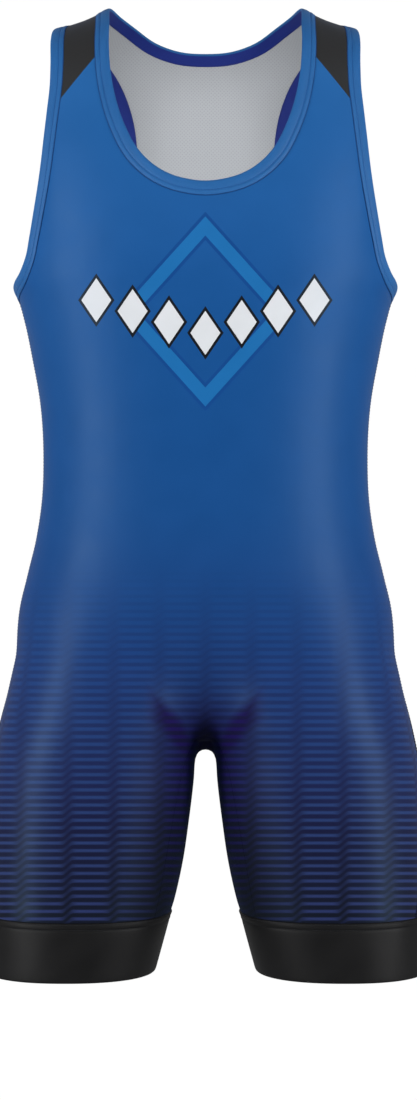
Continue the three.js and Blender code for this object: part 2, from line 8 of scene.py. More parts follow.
import bpy
import numpy as np
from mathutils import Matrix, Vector


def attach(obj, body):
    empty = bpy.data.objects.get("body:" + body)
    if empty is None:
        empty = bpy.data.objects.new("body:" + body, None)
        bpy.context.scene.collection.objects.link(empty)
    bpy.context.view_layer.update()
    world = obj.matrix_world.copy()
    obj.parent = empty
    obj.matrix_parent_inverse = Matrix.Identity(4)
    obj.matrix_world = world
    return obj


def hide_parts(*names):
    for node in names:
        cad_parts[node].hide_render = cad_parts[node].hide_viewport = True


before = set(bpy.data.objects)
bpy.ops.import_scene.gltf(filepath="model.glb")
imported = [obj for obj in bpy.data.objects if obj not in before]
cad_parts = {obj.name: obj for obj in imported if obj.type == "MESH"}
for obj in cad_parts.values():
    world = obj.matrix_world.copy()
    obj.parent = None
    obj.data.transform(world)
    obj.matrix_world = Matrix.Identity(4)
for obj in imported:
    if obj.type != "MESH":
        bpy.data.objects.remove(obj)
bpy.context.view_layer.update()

MM = 0.001  # metres in a millimetre

# Heights over the figure that the cloth lies on.
KNIT_INSIDE = -1.3  # the inner face of a panel; its outer face lies on the figure
SEAM_DIP = 0.45  # how far the stitches pull a panel's edge down

# Print on the panels.
HEM_Z = -898
STRIPE_PERIOD = 7.1
COLUMN_WIDTH = 43
COLUMN_BLEND = 11  # over this width a stripe climbs to the level of the next one
SIDE_DEPTH = 1.5 * COLUMN_WIDTH  # how far from the side line the print starts to run round the side
SIDE_FROM, SIDE_FULL = 50, 110  # how far out this starts, so that it leaves the inside of the legs alone
STRIPES_START_Z = -520
STRIPES_FULL_Z = -770
STRIPE_INK = 0.9  # how far a full stripe covers the blue
STRIPE_BEGINS = (0.2, 0.06)  # where in half a period a stripe's soft edge begins, in a pale and in a full one
STRIPE_FULL = (0.4, 0.3)  # and where that edge ends
JOINT_FROM = 0.24  # where in half a column the shade at its joint begins; the joint itself is at 0.5
JOINT_INK = 0.8
BLACK_Z, PURPLE_Z = -850, -720  # below the first the dark print is black or navy, above the second purple
# Painted shade darkens the print round the crotch, down the inside of the legs and in two short creases that
# run up from the crotch.
CROTCH_Z = -690
LEG_SLANT = 0.19  # how fast the inside of a leg leaves the centre on the way down
DARK_REACH = 1.1  # more than 1 makes the painted shade of the crotch end lower than it is wide
DARK_CORE, DARK_EDGE = 6, 74  # how far from the crotch the painted shade starts to fade, and where it ends
DARKEST = 0.05  # the share of the ordinary print in the core
CREASE_START, CREASE_SLANT = 15, 0.6  # where the creases leave the crotch, and how fast they spread upwards
CREASE_CORE, CREASE_EDGE = 2, 27  # how far from its line a crease starts to fade, and where it ends
CREASE_FADES, CREASE_GONE = 30, 74  # heights over the crotch between which a crease fades out
CREASE_END = 30  # more than CREASE_EDGE, so that nothing of it is left
ORNAMENT_Z = -284
RING_SHAPE = 0.9  # width of the large lozenge over its height
RING_MIDDLE = 72  # how far from the centre its ring runs
RING_HALF, RING_EDGE = 8, 4  # half the width of the ring, and its darker edge
LOZENGE_WIDTH, LOZENGE_HEIGHT, LOZENGE_EDGE = 34, 50, 3
ROW_WIDTH = 7 * LOZENGE_WIDTH
ROW_RISE = 0.3  # the row is a V: how much higher each lozenge lies for its distance from the centre
ROW_DROP = 20  # how far the lowest one lies under the middle of the large lozenge
YOKE_RISE = 1.2287  # steepness of the lower edge of the black shoulder
YOKE_REACH = 64.3  # height of that edge's line where it would meet the centre
YOKE_BLUR = 0.5

# Camera: level with the middle of the picture, far enough away for the photograph's slight perspective.
EYE = (2.8, -2300, -507)
VIEW_HEIGHT = 1028.5  # what the picture's height takes in at the centre plane
SENSOR = 36

# Sections of the figure, which are the same as the solids'.
SQUARENESS = 2.3  # 2 would make a section an ellipse, and more makes it boxier
BLEND = 24  # over this gap the thighs run into the trunk
LEAST = 0.05  # keeps divisors away from zero
CHEST_TOP_Z = -75  # above it the trunk curves in to the shoulders


def table(names, rows):
    return dict(zip(names.split(), np.array(rows, float).T))


TORSO = table("z half front back mid", [
    (20, 180, 58, 62, 6),
    (-75, 181, 86, 92, 4),
    (-150, 182, 106, 107, 0),
    (-215, 182, 116, 111, 0),
    (-264, 178.5, 116, 109, 0),
    (-276, 173.5, 115, 108, 0),
    (-292, 169, 113, 106, 0),
    (-330, 161, 107, 101, 0),
    (-370, 154, 102, 94, 0),
    (-423, 151, 98, 89, 0),
    (-460, 152.4, 98, 91, 0),
    (-498, 158, 99, 99, 0),
    (-535, 166.5, 100, 108, 0),
    (-572, 169, 96, 112, 0),
    (-600, 160, 89, 108, 0),
    (-630, 133, 76, 95, 0),
    (-655, 98, 60, 76, 0),
    (-671, 58, 42, 53, 0),
    (-682, 22, 18, 22, 0),
])
SHOULDER = table("x z", [
    (0, 11.5),
    (40, 9.5),
    (60, 6.5),
    (80, 1.5),
    (92, -2.8),
    (107, -10.4),
    (125, -16.9),
    (140, -20.8),
    (160, -26.6),
    (185, -33.4),
])
THIGH = table("z outer inner front back", [
    (-520, 138, -46, 70, 84),
    (-545, 156, -36, 82, 102),
    (-572, 168, -28, 91, 113),
    (-610, 177.5, -18, 97, 119),
    (-647, 186, -9, 100, 117),
    (-669, 191.5, -1, 101, 113),
    (-684, 195, 5.6, 100, 110),
    (-700, 198.6, 9.4, 99, 107),
    (-722, 201.8, 11, 97, 104),
    (-759, 204.8, 15.4, 94, 99),
    (-797, 206.2, 21, 91, 95),
    (-825, 206.4, 27, 89, 91),
    (-853, 206.2, 34.5, 88, 88),
    (-898, 205.2, 46.8, 86, 84),
])


def hermite(t, start, end, leaving, arriving):
    """Points between start and end at t from 0 to 1; leaving and arriving are the slopes there."""
    return (
        start * (2 * t**3 - 3 * t**2 + 1)
        + end * (3 * t**2 - 2 * t**3)
        + leaving * (t**3 - 2 * t**2 + t)
        + arriving * (t**3 - t**2)
    )


def value_at(rows, key, column, places):
    """Smooth values of a column at places along a table whose key column runs one way."""
    way = np.sign(rows[key][-1] - rows[key][0])
    knots = (rows[key] - rows[key][0]) * way
    values = rows[column]
    at = np.clip((places - rows[key][0]) * way, 0, knots[-1])
    step = np.diff(knots)
    rise = np.diff(values) / step
    inner = (rise[:-1] * step[1:] + rise[1:] * step[:-1]) / (step[:-1] + step[1:])
    slope = np.concatenate([rise[:1], inner, rise[-1:]])
    i = np.clip(np.searchsorted(knots, at, side="right") - 1, 0, len(step) - 1)
    t = (at - knots[i]) / step[i]
    return hermite(t, values[i], values[i + 1], slope[i] * step[i], slope[i + 1] * step[i])


def power(value):
    return np.abs(value) ** SQUARENESS


def root(value):
    return value ** (1 / SQUARENESS)


def torso_gap(p):
    """Distance-like gap from points to the torso, negative inside."""
    x, y, z = p.T
    end = TORSO["z"][-1]
    half = value_at(TORSO, "z", "half", z)
    mid = value_at(TORSO, "z", "mid", z)
    front, back = (value_at(TORSO, "z", face, z) for face in ("front", "back"))
    depth = np.where(y < mid, front, back)
    across = power(x / half)
    above = np.maximum(z - CHEST_TOP_Z, 0)
    ridge = value_at(SHOULDER, "x", "z", np.abs(x)) - CHEST_TOP_Z
    over = power(above / ridge * root(np.maximum(1 - across, LEAST)))
    reach = np.maximum(root(across + power((y - mid) / depth) + over), LEAST)
    gap = (1 - 1 / reach) * np.sqrt(x**2 + (y - mid) ** 2 + above**2)
    return np.where(z < end, np.sqrt(x**2 + y**2 + (z - end) ** 2), gap)


def thigh_gap(side, p):
    x, y, z = p.T
    outer, inner, front, back = (value_at(THIGH, "z", c, z) for c in ("outer", "inner", "front", "back"))
    depth = np.where(y < 0, front, back)
    x = x - side * (outer + inner) / 2
    reach = np.maximum(root(power(2 * x / (outer - inner)) + power(y / depth)), LEAST)
    return np.where(z > THIGH["z"][0], 2 * BLEND, (1 - 1 / reach) * np.hypot(x, y))


def soft_min(a, b):
    near = np.maximum(BLEND - np.abs(a - b), 0) / BLEND
    return np.minimum(a, b) - near * near * BLEND / 4


def figure_gap(p):
    return soft_min(torso_gap(p), soft_min(thigh_gap(1, p), thigh_gap(-1, p)))


def slope(p):
    step = 0.05
    shifts = step * np.eye(3)
    return np.stack([(figure_gap(p + s) - figure_gap(p - s)) / (2 * step) for s in shifts], axis=1)


def settle(points, level=False):
    """Moves points onto the figure along its slope; level points keep their height."""
    p = np.array(points, float)
    for _ in range(6):
        g = slope(p)
        if level:
            g[:, 2] = 0
        p -= g * (figure_gap(p) / np.maximum((g * g).sum(axis=1), LEAST))[:, None]
    return p


def outward(points):
    return unit(slope(points))


def unit(vectors):
    return vectors / np.maximum(np.linalg.norm(vectors, axis=-1, keepdims=True), 1e-9)


# Reading the solids


def outer_layer(node):
    """The outer face of a node's wall: its points and its triangles, which look away from the figure."""
    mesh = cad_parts[node].data
    mesh.calc_loop_triangles()
    points = np.array([v.co for v in mesh.vertices]) / MM
    triangles = np.array([t.vertices for t in mesh.loop_triangles])
    _, first, same = np.unique(np.round(points, 3), axis=0, return_index=True, return_inverse=True)
    points, triangles = points[first], same.reshape(-1)[triangles]
    a, b, c = (points[triangles[:, k]] for k in range(3))
    middle = (a + b + c) / 3
    away = unit(np.cross(b - a, c - a)) * 2
    kept = triangles[figure_gap(middle + away) - figure_gap(middle - away) > 1.4]
    used, renumbered = np.unique(kept, return_inverse=True)
    return points[used], renumbered.reshape(-1, 3)


def border_loops(triangles):
    """Rings of point numbers round the open borders, with the cloth on their left as seen from outside."""
    edges = {(a, b) for tri in triangles.tolist() for a, b in zip(tri, tri[1:] + tri[:1])}
    after = {a: b for a, b in sorted(edges) if (b, a) not in edges}
    loops = []
    while after:
        loop = [next(iter(after))]
        while (following := after.pop(loop[-1])) != loop[0]:
            loop.append(following)
        loops.append(loop)
    return loops


def fair_curve(points, cuts, closed=True):
    """A smooth curve through points, each stretch in equal parts; corners over 35 degrees stay sharp."""
    ahead = np.roll(points, -1, axis=0) - points
    behind = np.roll(ahead, 1, axis=0)
    far, near = (np.linalg.norm(v, axis=1, keepdims=True) for v in (ahead, behind))
    smooth = (unit(ahead) * near + unit(behind) * far) / (near + far)
    sharp = (unit(ahead) * unit(behind)).sum(axis=1) < math.cos(math.radians(35))
    if not closed:
        sharp[[0, -1]] = True
    leaving = np.where(sharp[:, None], unit(ahead), smooth) * far
    arriving = np.roll(np.where(sharp[:, None], unit(behind), smooth), -1, axis=0) * far
    t = (np.arange(cuts) / cuts)[None, :, None]
    ends = points[:, None], np.roll(points, -1, axis=0)[:, None]
    curve = hermite(t, *ends, leaving[:, None], arriving[:, None])
    return curve.reshape(-1, 3) if closed else np.concatenate([curve[:-1].reshape(-1, 3), points[-1:]])


def corners(points):
    """Where a closed line turns sharply."""
    ahead = unit(np.roll(points, -1, axis=0) - points)
    return np.flatnonzero((ahead * np.roll(ahead, 1, axis=0)).sum(axis=1) < math.cos(math.radians(35)))


def stretches(node):
    """The sides of a piece between its corners, as rows of coarse points."""
    points, triangles = outer_layer(node)
    found = []
    for loop in border_loops(triangles):
        line = points[loop]
        at = corners(line)
        line = np.roll(line, -at[0], axis=0)
        ends = [*(at - at[0]), len(line)]
        line = np.concatenate([line, line[:1]])
        found += [line[a : b + 1] for a, b in zip(ends, ends[1:])]
    return found


def length(line):
    return np.linalg.norm(np.diff(line, axis=0), axis=1).sum()


def ring_of(line):
    """A line with its first point again at the end."""
    return np.concatenate([line, line[:1]])


def spaced(line, pitch):
    """Evenly spaced points along a line, about pitch apart."""
    along = np.concatenate([[0], np.cumsum(np.linalg.norm(np.diff(line, axis=0), axis=1))])
    places = np.linspace(0, along[-1], max(round(along[-1] / pitch), 1) + 1)
    return np.stack([np.interp(places, along, line[:, k]) for k in range(3)], axis=1)


# Making pieces


def cloth_place(points):
    """Where each point lies on the printed cloth, across and up: as seen from in front, and mirrored behind
    the side lines."""
    x, y, z = points.T
    nearer = -EYE[1] / (y - EYE[1])
    outer = np.clip((np.abs(x) - SIDE_FROM) / (SIDE_FULL - SIDE_FROM), 0, 1)
    round_side = np.maximum(SIDE_DEPTH - np.abs(y), 0) * outer
    return np.stack([x * nearer + np.sign(x) * round_side, EYE[2] + (z - EYE[2]) * nearer], axis=1)


def piece(name, points, faces, places, materials, part=None, sharp=()):
    """A mesh of the part. Its points' coordinates on the cloth are places, and part numbers each face's
    material."""
    mesh = bpy.data.meshes.new(name)
    mesh.from_pydata((np.asarray(points) * MM).tolist(), [], [list(map(int, f)) for f in faces])
    for material in materials:
        mesh.materials.append(material)
    mesh.polygons.foreach_set("use_smooth", [True] * len(mesh.polygons))
    if part is not None:
        mesh.polygons.foreach_set("material_index", part)
    corner_points = np.zeros(len(mesh.loops), int)
    mesh.loops.foreach_get("vertex_index", corner_points)
    mesh.uv_layers.new(name="cloth").data.foreach_set("uv", (places[corner_points] * MM).ravel())
    if len(sharp):
        marked = {frozenset(map(int, e)) for e in sharp}
        flags = [frozenset(e.vertices) in marked for e in mesh.edges]
        mesh.attributes.new("sharp_edge", "BOOLEAN", "EDGE").data.foreach_set("value", flags)
    mesh.validate()
    mesh.update()
    made = bpy.data.objects.new(name, mesh)
    bpy.context.scene.collection.objects.link(made)
    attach(made, "root")
    return made


def refined(points, triangles, cuts):
    """The same surface in smaller triangles on the figure, with its borders on fair curves."""
    on_border = {}
    for loop in border_loops(triangles):
        fine = fair_curve(points[loop], cuts).reshape(len(loop), cuts, 3)
        on_border.update({(a, b): fine[k] for k, (a, b) in enumerate(zip(loop, loop[1:] + loop[:1]))})
    known, places, small = {}, [], []

    def number(shares):
        shares = tuple(sorted((corner, share) for corner, share in shares if share))
        if shares not in known:
            place = sum(points[corner] * share / cuts for corner, share in shares)
            if len(shares) == 2:
                (a, _), (b, far) = shares
                if (a, b) in on_border:
                    place = on_border[a, b][far]
                elif (b, a) in on_border:
                    place = on_border[b, a][cuts - far]
            known[shares] = len(places)
            places.append(place)
        return known[shares]

    for a, b, c in triangles.tolist():
        grid = [
            [number(((a, cuts - i), (b, i - j), (c, j))) for j in range(i + 1)]
            for i in range(cuts + 1)
        ]
        for i in range(cuts):
            for j in range(i + 1):
                small.append((grid[i][j], grid[i + 1][j], grid[i + 1][j + 1]))
                if j < i:
                    small.append((grid[i][j], grid[i + 1][j + 1], grid[i][j + 1]))
    return settle(np.array(places)), np.array(small)


def panel(node, outside, inside, cuts=3):
    """A knit panel as a thin shell on its solid's form, pulled down where it is sewn."""
    points, triangles = refined(*outer_layer(node), cuts)
    normals = outward(points)
    loops = border_loops(triangles)
    top = np.zeros(len(points))
    top[[k for loop in loops for k in loop]] = -SEAM_DIP
    count = len(points)
    layers = np.concatenate([points + normals * top[:, None], points + normals * KNIT_INSIDE])
    faces = [*triangles.tolist(), *(triangles[:, ::-1] + count).tolist()]
    sharp = []
    for loop in loops:
        for a, b in zip(loop, loop[1:] + loop[:1]):
            faces.append((a, a + count, b + count, b))
            sharp += [(a, b), (a + count, b + count)]
    part = np.zeros(len(faces), int)
    part[len(triangles) : 2 * len(triangles)] = 1
    place = cloth_place(points)
    made = piece(
        node + "_cloth", layers, faces, np.concatenate([place, place]), [outside, inside], part, sharp
    )
    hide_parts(node)
    return made


def swept(name, line_at, profile, materials, part, replaces):
    """A closed band. Rows of the profile say how far across the cloth and how high over the figure each line
    lies."""
    rings, places = [], []
    for across, height in profile:
        line = line_at(across)
        rings.append(line + outward(line) * height)
        run = np.concatenate([[0], np.cumsum(np.linalg.norm(np.diff(line, axis=0), axis=1))])
        places.append(np.stack([run, np.full(len(line), across - height)], axis=1))
    count, rows = len(rings[0]), len(rings)
    faces, parts = [], []
    for r in range(rows):
        below, above = r * count, (r + 1) % rows * count
        for k in range(count):
            following = (k + 1) % count
            faces.append((below + k, below + following, above + following, above + k))
            parts.append(part[r])
    made = piece(name, np.concatenate(rings), faces, np.concatenate(places), materials, parts, ())
    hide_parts(replaces)
    return made


def tubes(centres, normals, radius, sides=6):
    """Threads: centres and normals hold, for each thread, the same number of sections."""
    threads, sections, _ = centres.shape
    along = unit(np.gradient(centres, axis=1))
    beside = unit(np.cross(normals, along))
    up = np.cross(along, beside)
    turns = np.arange(sides) * 2 * math.pi / sides
    ring = up[:, :, None] * np.cos(turns)[:, None] + beside[:, :, None] * np.sin(turns)[:, None]
    points = (centres[:, :, None] + radius * ring).reshape(-1, 3)
    number = np.arange(threads * sections * sides).reshape(threads, sections, sides)
    after = np.roll(number, -1, axis=2)
    quads = np.stack([number[:, :-1], number[:, 1:], after[:, 1:], after[:, :-1]], axis=-1).reshape(-1, 4)
    caps = [number[:, 0], number[:, -1, ::-1]]
    return points, [*quads.tolist(), *np.concatenate(caps).tolist()]


def running_stitches(line, height, pitch=3.0, share=0.78, radius=0.26):
    """Threads of a straight stitch along a line on the figure; each dives into the cloth at both ends."""
    count = max(round(length(line) / pitch), 1)
    places = spaced(line, length(line) / count)
    rise = np.array([-0.35, 0.12, 0.2, 0.12, -0.35])
    t = (0.5 + share * np.linspace(-0.5, 0.5, len(rise)))[None, :, None]
    centres = places[:-1, None] * (1 - t) + places[1:, None] * t
    normals = outward(centres.reshape(-1, 3)).reshape(centres.shape)
    return tubes(centres + normals * (height + rise)[None, :, None], normals, radius)


def looper_threads(line, height, half_width, pitch=1.5, radius=0.2):
    """The thread of a flat seam that crosses from one side to the other."""
    middle = spaced(line, pitch)
    normals = outward(middle)
    beside = unit(np.cross(normals, np.gradient(middle, axis=0)))
    sign = np.where(np.arange(len(middle)) % 2, 1, -1)[:, None]
    turns = middle + beside * sign * half_width
    t = np.linspace(0, 1, 5)[None, :, None]
    centres = settle((turns[:-1, None] * (1 - t) + turns[1:, None] * t).reshape(-1, 3)).reshape(-1, 5, 3)
    normals = outward(centres.reshape(-1, 3)).reshape(centres.shape)
    rise = height + 0.18 * np.sin(np.linspace(0, math.pi, 5))
    return tubes(centres + normals * rise[None, :, None], normals, radius, sides=5)


def sewn(name, rows, material):
    """Joins rows of thread into one piece."""
    points, faces, start = [], [], 0
    for row_points, row_faces in rows:
        points.append(row_points)
        faces += [[k + start for k in face] for face in row_faces]
        start += len(row_points)
    points = np.concatenate(points)
    return piece(name, points, faces, points[:, [0, 2]], [material])


# Materials

# Colours of the print, and of the shade painted on it, in sRGB. The blues are given by height.
BLUES = [
    (-880, "#272b54"),
    (-760, "#253763"),
    (-640, "#1a356b"),
    (-560, "#163c74"),
    (-470, "#12437c"),
    (-260, "#134985"),
    (-110, "#1e5693"),
    (-10, "#265f9b"),
]
STRIPE_BLACK = "#0b0b0c"
STRIPE_PURPLE = "#151237"
# Painted shade round the crotch and down the inside of the legs: purple higher up, navy lower down.
CROTCH_SHADE_PURPLE = "#190b4c"
LEG_SHADE_NAVY = "#0b0a1e"  # painted shade that takes the purple's place lower down the inside of the legs
SHADE_ROUGHNESS = 0.8  # roughness where the painted shade of the crotch is darkest
LEAST_DYE, MOST_DYE = 0.94, 1.06
ORNAMENT_DEEP = "#10407e"
ORNAMENT_LIGHT = "#1a629e"
ORNAMENT_BLACK = "#141416"
ORNAMENT_WHITE = "#cbced2"
SHOULDER_BLACK = "#2b2a29"


def srgb(text):
    """A colour from its sRGB hex value, as the linear numbers that Blender takes."""
    parts = [int(text[i : i + 2], 16) / 255 for i in (1, 3, 5)]
    return [c / 12.92 if c <= 0.04045 else ((c + 0.055) / 1.055) ** 2.4 for c in parts] + [1]


def add(tree, kind, settings=None, inputs=None):
    """Adds a node with its settings. Inputs are numbers, the outputs that feed them, or nodes whose first
    output feeds them."""
    made = tree.nodes.new(kind)
    for name, value in (settings or {}).items():
        setattr(made, name, value)
    for name, value in (inputs or {}).items():
        if isinstance(value, bpy.types.Node):
            value = value.outputs[0]
        if isinstance(value, bpy.types.NodeSocket):
            tree.links.new(value, made.inputs[name])
        else:
            made.inputs[name].default_value = value
    return made


def finish_of(name, inputs):
    """A new material with a shader whose sockets are set; gives the material, its nodes and the shader."""
    material = bpy.data.materials.new(name)
    material.use_nodes = True
    tree = material.node_tree
    shader = tree.nodes["Principled BSDF"]
    for socket, value in inputs.items():
        shader.inputs[socket].default_value = value
    return material, tree, shader


def cloth_axes(tree):
    """The coordinates on the cloth, in millimetres, across and up."""
    place = add(tree, "ShaderNodeUVMap", {"uv_map": "cloth"})
    scaled = add(tree, "ShaderNodeVectorMath", {"operation": "SCALE"}, {0: place, "Scale": 1 / MM})
    split = add(tree, "ShaderNodeSeparateXYZ", None, {0: scaled})
    return scaled, split.outputs["X"], split.outputs["Y"]


SMOOTH = {"interpolation_type": "SMOOTHSTEP"}
COLOURS = {"data_type": "RGBA"}  # a mix of colours gives its result as output 2


def ribbed(tree, shader, scaled, pitch, strength, depth):
    """Fine ribs of a knit, and the slight unevenness of its loops, as a bump; lengths in millimetres."""
    ribs = add(tree, "ShaderNodeTexWave", {"wave_type": "BANDS", "bands_direction": "X"},
               {"Vector": scaled, "Scale": math.pi / 10 / pitch, "Distortion": 0.6, "Detail": 1})
    loops = add(tree, "ShaderNodeTexNoise", None, {"Vector": scaled, "Scale": 1 / pitch, "Detail": 2})
    both = add(tree, "ShaderNodeMath", {"operation": "MULTIPLY_ADD"},
               {0: loops, 1: 0.6, 2: ribs.outputs["Fac"]})
    bump = add(tree, "ShaderNodeBump", None, {"Strength": strength, "Distance": depth * MM, "Height": both})
    tree.links.new(bump.outputs[0], shader.inputs["Normal"])
    return loops


def roughened(tree, shader, scaled, low, high):
    """Roughness that drifts between two values over a few centimetres, as on stretched cloth. Gives the drift
    and the roughness."""
    drift = add(tree, "ShaderNodeTexNoise", None, {"Vector": scaled, "Scale": 0.03, "Detail": 3})
    rough = add(tree, "ShaderNodeMapRange", None,
                {"Value": drift, "From Min": 0.3, "From Max": 0.7, "To Min": low, "To Max": high})
    tree.links.new(rough.outputs[0], shader.inputs["Roughness"])
    return drift, rough


def blue_fade(tree, up):
    """Blue that deepens downwards."""
    share = add(tree, "ShaderNodeMapRange", None, {"Value": up, "From Min": HEM_Z, "From Max": 0})
    fade = add(tree, "ShaderNodeValToRGB", None, {"Fac": share})
    ramp = fade.color_ramp
    ramp.interpolation = "B_SPLINE"
    for height, colour in BLUES:
        stop = ramp.elements.new((height - HEM_Z) / -HEM_Z)
        stop.color = srgb(colour)
    ramp.elements.remove(ramp.elements[0])
    ramp.elements.remove(ramp.elements[-1])
    return fade


def stripes(tree, across, up):
    """How dark the stripes, and the joints between their columns, make the blue. Stripes climb one whole
    period from each column to the next."""
    column = add(tree, "ShaderNodeMath", {"operation": "MULTIPLY_ADD"},
                 {0: across, 1: 1 / COLUMN_WIDTH, 2: 0.5})
    whole = add(tree, "ShaderNodeMath", {"operation": "FLOOR"}, {0: column})
    within = add(tree, "ShaderNodeMath", {"operation": "FRACT"}, {0: column})
    blend = COLUMN_BLEND / COLUMN_WIDTH / 2
    climb = add(tree, "ShaderNodeMapRange", SMOOTH,
                {"Value": within, "From Min": 0.5 - blend, "From Max": 0.5 + blend})
    steps = add(tree, "ShaderNodeMath", {"operation": "ADD"}, {0: whole, 1: climb})
    level = add(tree, "ShaderNodeMath", {"operation": "MULTIPLY"}, {0: up, 1: 1 / STRIPE_PERIOD})
    phase = add(tree, "ShaderNodeMath", {"operation": "SUBTRACT"}, {0: level, 1: steps})
    wave = add(tree, "ShaderNodeMath", {"operation": "PINGPONG"}, {0: phase, 1: 0.5})
    ink = add(tree, "ShaderNodeMapRange", None,
              {"Value": up, "From Min": STRIPES_START_Z, "From Max": STRIPES_FULL_Z, "To Max": STRIPE_INK})
    begins, full = (
        add(tree, "ShaderNodeMapRange", None, {"Value": ink, "To Min": pale, "To Max": inked})
        for pale, inked in (STRIPE_BEGINS, STRIPE_FULL)
    )
    bars = add(tree, "ShaderNodeMapRange", SMOOTH, {"Value": wave, "From Min": begins, "From Max": full})
    beside = add(tree, "ShaderNodeMath", {"operation": "PINGPONG"}, {0: within, 1: 0.5})
    joints = add(tree, "ShaderNodeMapRange", SMOOTH,
                 {"Value": beside, "From Min": JOINT_FROM, "From Max": 0.5, "To Max": JOINT_INK})
    darker = add(tree, "ShaderNodeMath", {"operation": "MAXIMUM"}, {0: bars, 1: joints})
    return add(tree, "ShaderNodeMath", {"operation": "MULTIPLY"}, {0: darker, 1: ink})


def crotch_shade(tree, aside, height):
    """The share of the ordinary print left under the painted shade: least at the crotch, down the inside of
    the legs and in two short creases that run up from the crotch."""
    over = add(tree, "ShaderNodeMath", {"operation": "ADD"}, {0: height, 1: -CROTCH_Z})
    above = add(tree, "ShaderNodeMath", {"operation": "MAXIMUM"}, {0: over, 1: 0})
    below = add(tree, "ShaderNodeMath", {"operation": "MINIMUM"}, {0: over, 1: 0})
    in_leg = add(tree, "ShaderNodeMath", {"operation": "MULTIPLY_ADD"}, {0: below, 1: LEG_SLANT, 2: aside})
    climbed = add(tree, "ShaderNodeMath", {"operation": "MULTIPLY"}, {0: above, 1: DARK_REACH})
    both = add(tree, "ShaderNodeCombineXYZ", None, {"X": in_leg, "Y": climbed})
    far = add(tree, "ShaderNodeVectorMath", {"operation": "LENGTH"}, {0: both}).outputs["Value"]
    dark = add(tree, "ShaderNodeMapRange", SMOOTH,
               {"Value": far, "From Min": DARK_CORE, "From Max": DARK_EDGE, "To Min": DARKEST})
    crease = add(tree, "ShaderNodeMath", {"operation": "MULTIPLY_ADD"}, {0: over, 1: -CREASE_SLANT, 2: aside})
    crease = add(tree, "ShaderNodeMath", {"operation": "SUBTRACT"}, {0: crease, 1: CREASE_START})
    crease = add(tree, "ShaderNodeMath", {"operation": "ABSOLUTE"}, {0: crease})
    ends = add(tree, "ShaderNodeMapRange", None,
               {"Value": over, "From Min": CREASE_FADES, "From Max": CREASE_GONE, "To Max": CREASE_END})
    crease = add(tree, "ShaderNodeMath", {"operation": "ADD"}, {0: crease, 1: ends})
    crease = add(tree, "ShaderNodeMapRange", SMOOTH,
                 {"Value": crease, "From Min": CREASE_CORE, "From Max": CREASE_EDGE})
    return add(tree, "ShaderNodeMath", {"operation": "MINIMUM"}, {0: dark, 1: crease})


def ornament(tree, across, up, in_front, ground):
    """The ground with a V of white lozenges with black edges, over a large hollow one in two more blues."""
    level = add(tree, "ShaderNodeMath", {"operation": "SUBTRACT"}, {0: up, 1: ORNAMENT_Z})
    rise = add(tree, "ShaderNodeMath", {"operation": "ABSOLUTE"}, {0: level})
    width = add(tree, "ShaderNodeMath", {"operation": "ABSOLUTE"}, {0: across})
    large = add(tree, "ShaderNodeMath", {"operation": "MULTIPLY_ADD"}, {0: rise, 1: RING_SHAPE, 2: width})
    cell = add(tree, "ShaderNodeMath", {"operation": "PINGPONG"}, {0: across, 1: LOZENGE_WIDTH / 2})
    shifted = add(tree, "ShaderNodeMath", {"operation": "ADD"}, {0: width, 1: LOZENGE_WIDTH / 2})
    centre = add(tree, "ShaderNodeMath", {"operation": "SNAP"}, {0: shifted, 1: LOZENGE_WIDTH})
    lifted = add(tree, "ShaderNodeMath", {"operation": "MULTIPLY_ADD"}, {0: centre, 1: -ROW_RISE, 2: level})
    lifted = add(tree, "ShaderNodeMath", {"operation": "ADD"}, {0: lifted, 1: ROW_DROP})
    lifted = add(tree, "ShaderNodeMath", {"operation": "ABSOLUTE"}, {0: lifted})
    small = add(tree, "ShaderNodeMath", {"operation": "MULTIPLY_ADD"},
                {0: lifted, 1: LOZENGE_WIDTH / LOZENGE_HEIGHT, 2: cell})
    in_row = add(tree, "ShaderNodeMath", {"operation": "LESS_THAN"}, {0: width, 1: ROW_WIDTH / 2})
    in_row = add(tree, "ShaderNodeMath", {"operation": "MULTIPLY"}, {0: in_row, 1: in_front})
    for measure, at, half, shown, colour in [
        (large, RING_MIDDLE, RING_HALF + RING_EDGE, in_front, ORNAMENT_DEEP),
        (large, RING_MIDDLE, RING_HALF, in_front, ORNAMENT_LIGHT),
        (small, 0, LOZENGE_WIDTH / 2, in_row, ORNAMENT_BLACK),
        (small, 0, LOZENGE_WIDTH / 2 - LOZENGE_EDGE, in_row, ORNAMENT_WHITE),
    ]:
        here = add(tree, "ShaderNodeMath", {"operation": "COMPARE"}, {0: measure, 1: at, 2: half})
        drawn = add(tree, "ShaderNodeMath", {"operation": "MULTIPLY"}, {0: here, 1: shown})
        ground = add(tree, "ShaderNodeMix", COLOURS, {0: drawn, 6: ground, 7: srgb(colour)}).outputs[2]
    return ground


